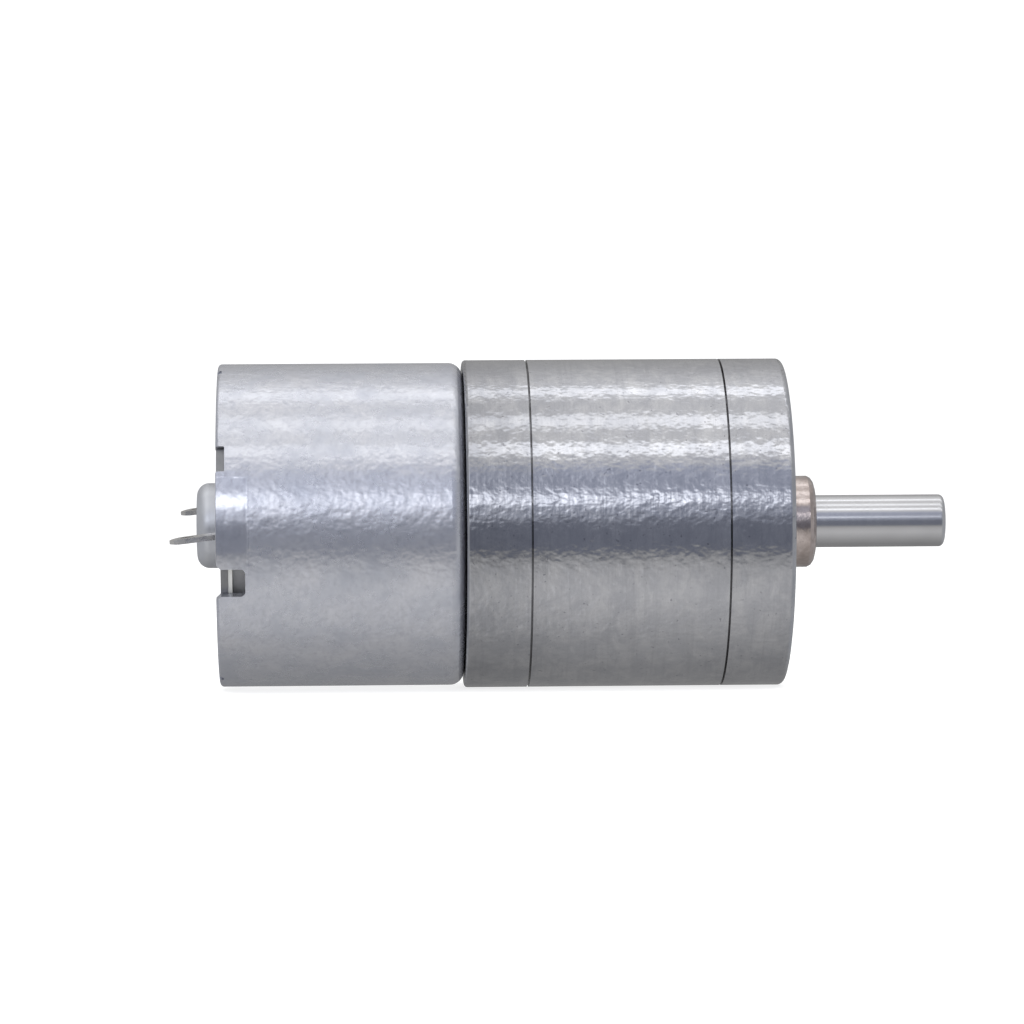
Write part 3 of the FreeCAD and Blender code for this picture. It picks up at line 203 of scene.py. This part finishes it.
def plated_can_steel():
    """Zinc plate on drawn steel: pale, hammered by its soft spangle, smoother on the pads."""
    finish = Finish("plated_can_steel", (0.58, 0.585, 0.625), 0.87, 0.25)
    dimples = finish.noise((1.6, 1.9, 1.9), detail=1.0)
    ripples = finish.noise((1.3, 1.0, 1.0), detail=1.0, shift=14.0)
    spangle = finish.noise(0.30, detail=4.0, roughness=0.6, shift=5.0)
    facets = finish.noise((0.9, 0.7, 0.7), detail=3.0, roughness=0.55, shift=9.0)
    grain = finish.noise((2.8, 2.0, 2.0), detail=2.0, shift=17.0)
    off_pad = finish.compute(
        "MAXIMUM",
        finish.remap(finish.place("X"), *PAD_X, 0.0, 1.0),
        finish.remap(finish.compute("ABSOLUTE", finish.place("Z")), *PAD_Z, 0.0, 1.0),
    )
    finish.tone(spangle, (0.48, 0.495, 0.55), 0.35, 0.7)
    finish.tone(facets, (0.64, 0.645, 0.68), 0.45, 0.75, 0.4)
    finish.tone(grain, (0.40, 0.41, 0.46), 0.5, 0.75, 0.4)
    drawn_roughness = finish.remap(spangle, 0.3, 0.7, 0.23, 0.30)
    finish.rough_from(finish.mix_value(off_pad, 0.15, drawn_roughness))
    share = finish.remap(off_pad, 0.0, 1.0, 0.3, 1.0)
    finish.bump(finish.compute("MULTIPLY", dimples, share), 0.0290)
    finish.bump(ripples, 0.0200)
    return finish.done()


def pressed_end_plate():
    """Plated sheet, dull on its sheared outer edge, with painted shade of the can's notches on that
    edge and on the lugs.
    """
    finish = Finish("pressed_end_plate", (0.62, 0.63, 0.66), 0.9, 0.4)
    grain = finish.noise(1.5, detail=3.5)
    clouds = finish.noise(0.25, detail=2.0, shift=4.0)
    notch_shade = finish.remap(finish.radius(), *PLATE_SHADE_RADIUS, 0.0, 1.0)
    finish.tone(clouds, (0.53, 0.54, 0.57), 0.35, 0.7)
    # Painted shade of the can's notches on the plate's outer edge and lugs.
    finish.tone(notch_shade, (0.25, 0.25, 0.255), 0.0, 1.0)
    finish.rough(grain, 0.34, 0.5)
    finish.bump(grain, 0.006)
    return finish.done()


def sintered_bronze():
    """Dull pressed metal with open pores and a film of oil."""
    finish = Finish("sintered_bronze", (0.62, 0.545, 0.52), 1.0, 0.2)
    pores = finish.noise(5.0, detail=3.0, roughness=0.7)
    worn = finish.noise((0.8, 0.6, 0.6), detail=3.0, roughness=0.6, shift=2.0)
    finish.tone(worn, (0.44, 0.375, 0.35), 0.4, 0.65)
    finish.tone(pores, (0.20, 0.17, 0.16), 0.62, 0.72, 0.6)
    finish.rough(pores, 0.14, 0.24)
    finish.bump(pores, 0.004)
    finish.bump(worn, 0.05)
    return finish.done()


def wound_wire():
    """Turns of enamelled wire side by side, as ridges across the coil with painted shade in the
    gaps between.
    """
    enamel = {"Coat Weight": 0.6, "Coat Roughness": 0.12}
    finish = Finish("wound_wire", (0.55, 0.22, 0.08), 0.6, 0.28, **enamel)
    inputs = {"Vector": finish.point, "Scale": 900.0, "Distortion": 0.6, "Detail": 1.0}
    turns = finish.add("ShaderNodeTexWave", inputs, bands_direction="DIAGONAL").outputs["Fac"]
    # Painted shade in the gaps between the turns.
    finish.tone(turns, (0.24, 0.08, 0.03), 0.15, 0.0)
    finish.bump(turns, 0.05)
    return finish.done()


def plain_metal(name, colour, roughness, bump_mm=0.002, cells=1.2, stretch=EVEN, darker=0.82):
    """A metal with faint mottling, and with a directional grain where stretch isn't even."""
    finish = Finish(name, colour, 1.0, roughness)
    grain = finish.noise(tuple(cells * factor for factor in stretch), detail=3.5)
    clouds = finish.noise(0.25, detail=2.0, shift=4.0)
    finish.tone(clouds, tuple(part * darker for part in colour), 0.35, 0.7)
    finish.rough(grain, roughness * 0.8, roughness * 1.35)
    finish.bump(grain, bump_mm)
    return finish.done()


def moulded(name, colour, roughness, other=None):
    """Plastic, board or ceramic with a fine moulded texture and uneven colour."""
    finish = Finish(name, colour, 0.0, roughness)
    texture = finish.noise(4.0, detail=3.0)
    clouds = finish.noise(0.5, detail=3.0, shift=6.0)
    finish.tone(clouds, other or tuple(part * 0.8 for part in colour), 0.35, 0.7)
    finish.rough(texture, roughness * 0.85, min(1.0, roughness * 1.2))
    finish.bump(texture, 0.003)
    return finish.done()


MATERIALS = {
    "shell_steel": turned_shell_steel(),
    "can_steel": plated_can_steel(),
    "plate_steel": pressed_end_plate(),
    "shaft_steel": plain_metal(
        "ground_shaft", (0.585, 0.585, 0.60), 0.16,
        bump_mm=0.0004, cells=2.0, stretch=(2.0, 0.4, 0.4), darker=0.92,
    ),
    "hard_steel": plain_metal(
        "ground_pin", (0.55, 0.55, 0.57), 0.2,
        bump_mm=0.001, cells=2.0, stretch=ROUND_AXIS, darker=0.9,
    ),
    "screw_steel": plain_metal("black_oxide", (0.07, 0.07, 0.075), 0.38, bump_mm=0.003, cells=3.0),
    "gear_steel": plain_metal(
        "cut_gear_steel", (0.46, 0.46, 0.48), 0.3, cells=3.0, stretch=ALONG_AXIS,
    ),
    "gear_brass": plain_metal(
        "cut_gear_brass", (0.72, 0.53, 0.24), 0.27, cells=3.0, stretch=ALONG_AXIS,
    ),
    "sintered_bronze": sintered_bronze(),
    "terminal_tin": plain_metal(
        "tinned_tab", (0.78, 0.76, 0.73), 0.26, bump_mm=0.05, cells=2.2, darker=0.62,
    ),
    "spring_bronze": plain_metal(
        "rolled_spring_bronze", (0.72, 0.47, 0.26), 0.25,
        bump_mm=0.001, cells=2.0, stretch=ALONG_AXIS,
    ),
    "copper": plain_metal(
        "turned_copper", (0.75, 0.36, 0.22), 0.24, bump_mm=0.001, cells=2.0, stretch=ROUND_AXIS,
    ),
    "enamelled_wire": wound_wire(),
    "carbon": moulded("pressed_carbon", (0.035, 0.035, 0.038), 0.55),
    "magnet_ferrite": moulded("ferrite", (0.10, 0.10, 0.11), 0.6),
    "white_board": moulded("insulating_board", (0.62, 0.62, 0.60), 0.6, (0.54, 0.54, 0.51)),
    "dark_moulding": moulded("dark_nylon", (0.52, 0.52, 0.53), 0.45),
    "pale_moulding": moulded("pale_nylon", (0.76, 0.73, 0.64), 0.45),
    "core_steel": plain_metal("punched_core", (0.33, 0.33, 0.35), 0.4, cells=2.0),
    "varistor_ceramic": moulded("fired_ceramic", (0.16, 0.18, 0.21), 0.5),
}

slot_of = {s["node"]: s["material_slot"] for s in frame["record"]["subparts"]}
for name, node in frame["nodes"].items():
    node.data.materials.clear()
    node.data.materials.append(MATERIALS[slot_of[name]])


# ---------------------------------------------------------------- studio

# The brightness of the room as seen from the motor, by degrees round its axis: 0 is the dark room
# behind the camera, 90 is overhead, 180 is the backdrop and the negative angles are the table.
ROOM = [
    (-180, 0.25), (-120, 0.34), (-90, 0.46), (-70, 0.58), (-50, 0.70), (-34, 0.63), (-27, 0.53),
    (-22.5, 0.37), (-19.5, 0.25), (0, 0.25), (12, 0.46), (24, 0.52), (31, 0.53), (37, 0.62),
    (44, 0.88), (90, 0.92), (115, 1.00), (140, 0.60), (180, 0.25),
]
ROOM_TOP = 2.0  # the ramp's full scale
# Long strips parallel to the motor: the angle and the half width in degrees, then the brightness at
# two places along the motor, each as (sine of the bearing from straight across, level).
STRIPS = [
    (16.8, 2.5, (0.102, 1.45), (0.112, 0.2)),
    (16.0, 6.6, (-0.05, 1.32), (0.06, 0.05)),
    (5.0, 2.2, (-0.08, 0.9), (0.09, 0.0)),
    (31.0, 8.0, (-0.03, 0.42), (0.035, 0.0)),
    (-55.0, 30.0, (-0.03, 0.14), (0.03, 0.0)),
    (53.0, 3.4, (0.0, 1.15), (1.0, 1.15)),
    (75.7, 5.0, (0.0, 0.75), (1.0, 0.75)),
    (105.0, 4.2, (0.0, 0.95), (1.0, 0.95)),
]
STRIP_EDGE = math.radians(1.5)  # half the width of a strip's soft edge
SIDES_BEGIN = (0.3, 0.75)  # sine of the bearing where the room fades into its two ends
DARK_ANGLES = (-20, 40)  # where the room has the cool tint
COOL_TINT = (0.87, 0.93, 1.13)
WARM_WHITE = (1.0, 0.998, 0.995)
STRIP_COLOUR = (0.97, 0.99, 1.03, 1.0)
SIDES_COLOUR = (0.50, 0.51, 0.53, 1.0)
WHITE = (1.0, 1.0, 1.0, 1.0)


def room_colour(graph, turn):
    """The slow run of brightness round the motor, for a turn in radians."""
    place = graph.remap(turn, -math.pi, math.pi, 0.0, 1.0)
    ramp = graph.add("ShaderNodeValToRGB", {"Fac": place})
    elements = ramp.color_ramp.elements
    while len(elements) > 1:
        elements.remove(elements[-1])
    for i, (degrees, level) in enumerate(ROOM):
        position = (degrees + 180) / 360
        element = elements[0] if i == 0 else elements.new(position)
        element.position = position
        tint = COOL_TINT if DARK_ANGLES[0] < degrees < DARK_ANGLES[1] else WARM_WHITE
        element.color = (*(level / ROOM_TOP * part for part in tint), 1.0)
    inputs = {"Color": ramp.outputs["Color"], "Strength": ROOM_TOP}
    return graph.add("ShaderNodeBackground", inputs)


def strip_light(graph, turn, along, degrees, half_width, start, end):
    """One soft-edged strip, whose brightness may change along the motor."""
    away = graph.compute("ABSOLUTE", graph.compute("SUBTRACT", turn, math.radians(degrees)))
    reach = math.radians(half_width)
    inside = graph.remap(away, reach - STRIP_EDGE, reach + STRIP_EDGE, 1.0, 0.0)
    level = graph.remap(along, start[0], end[0], start[1], end[1])
    strength = graph.compute("MULTIPLY", inside, level)
    return graph.add("ShaderNodeBackground", {"Color": STRIP_COLOUR, "Strength": strength})


def make_world():
    """A room with strip lights along the motor; the camera sees plain white beyond the floor."""
    world = bpy.data.worlds.new("studio")
    scene.world = world
    world.use_nodes = True
    world.node_tree.nodes.clear()
    graph = Graph(world.node_tree)
    direction = graph.add("ShaderNodeTexCoord").outputs["Generated"]
    along, depth, up = graph.add("ShaderNodeSeparateXYZ", {0: direction}).outputs
    turn = graph.compute("ARCTAN2", up, graph.compute("MULTIPLY", depth, -1.0))
    studio = room_colour(graph, turn)
    for strip in STRIPS:
        light = strip_light(graph, turn, along, *strip)
        studio = graph.add("ShaderNodeAddShader", {0: studio.outputs[0], 1: light.outputs[0]})
    sideways = graph.remap(graph.compute("ABSOLUTE", along), *SIDES_BEGIN, 0.0, 1.0)
    sides = graph.add("ShaderNodeBackground", {"Color": SIDES_COLOUR, "Strength": 1.0})
    inputs = {0: sideways, 1: studio.outputs[0], 2: sides.outputs[0]}
    studio = graph.add("ShaderNodeMixShader", inputs)
    plain = graph.add("ShaderNodeBackground", {"Color": WHITE, "Strength": 1.0})
    seen = graph.add("ShaderNodeLightPath").outputs["Is Camera Ray"]
    inputs = {0: seen, 1: studio.outputs[0], 2: plain.outputs[0]}
    chosen = graph.add("ShaderNodeMixShader", inputs)
    graph.add("ShaderNodeOutputWorld", {"Surface": chosen.outputs[0]})


def make_floor():
    """A pale floor that the gearbox rests on and that sweeps up into a backdrop."""
    lowest = cad_box[0].z - 0.02 * MM
    depth, width, rise, bend = 3.0, 3.0, 1.5, 0.5
    steps = 16
    profile = [(-depth, lowest), (depth - bend, lowest)]
    for i in range(1, steps + 1):
        turn = math.pi / 2 * i / steps
        across, up = bend * math.sin(turn), bend * (1 - math.cos(turn))
        profile.append((depth - bend + across, lowest + up))
    profile.append((depth, lowest + rise))
    vertices = [(side * width, y, z) for y, z in profile for side in (-1, 1)]
    faces = [(2 * i, 2 * i + 1, 2 * i + 3, 2 * i + 2) for i in range(len(profile) - 1)]
    mesh = bpy.data.meshes.new("floor")
    mesh.from_pydata(vertices, [], faces)
    for face in mesh.polygons:
        face.use_smooth = True
    floor = bpy.data.objects.new("floor", mesh)
    scene.collection.objects.link(floor)
    glow = {"Emission Color": WHITE, "Emission Strength": 0.78}
    finish = Finish("pale_floor", (0.32, 0.32, 0.32), 0.0, 0.8, **glow)
    finish.tone(finish.noise(0.02, detail=3.0), (0.30, 0.30, 0.30), 0.3, 0.7)
    mesh.materials.append(finish.done())
    floor.visible_glossy = False


def make_key_light():
    """A large soft light overhead that the metal doesn't mirror."""
    data = bpy.data.lights.new("overhead", "AREA")
    data.shape = "DISK"
    data.size = 2.4
    data.energy = 28.0
    light = bpy.data.objects.new("overhead", data)
    light.location = (-0.02, -0.2, 1.6)
    light.visible_glossy = False
    scene.collection.objects.link(light)


def make_camera():
    """A level view from a long way off, nearly square to the motor's side."""
    distance = 340 * MM
    foot = -33.415 * MM  # X straight ahead of the camera if it didn't turn
    height = 0.87 * MM
    yaw = math.radians(2.156)
    roll = math.radians(0.41)
    data = bpy.data.cameras.new("camera")
    data.sensor_width = 36.0
    data.lens = 156.3
    data.clip_start, data.clip_end = 0.01, 20.0
    camera = bpy.data.objects.new("camera", data)
    ahead = Vector((math.sin(yaw), math.cos(yaw), 0.0))
    level_right = Vector((math.cos(yaw), -math.sin(yaw), 0.0))
    up = Vector((0, 0, 1)) * math.cos(roll) + level_right * math.sin(roll)
    right = ahead.cross(up)
    turn = Matrix((right, up, -ahead)).transposed().to_4x4()
    camera.matrix_world = Matrix.Translation((foot, -distance, height)) @ turn
    scene.collection.objects.link(camera)
    scene.camera = camera


make_world()
make_floor()
make_key_light()
make_camera()
scene.view_settings.view_transform = "Standard"
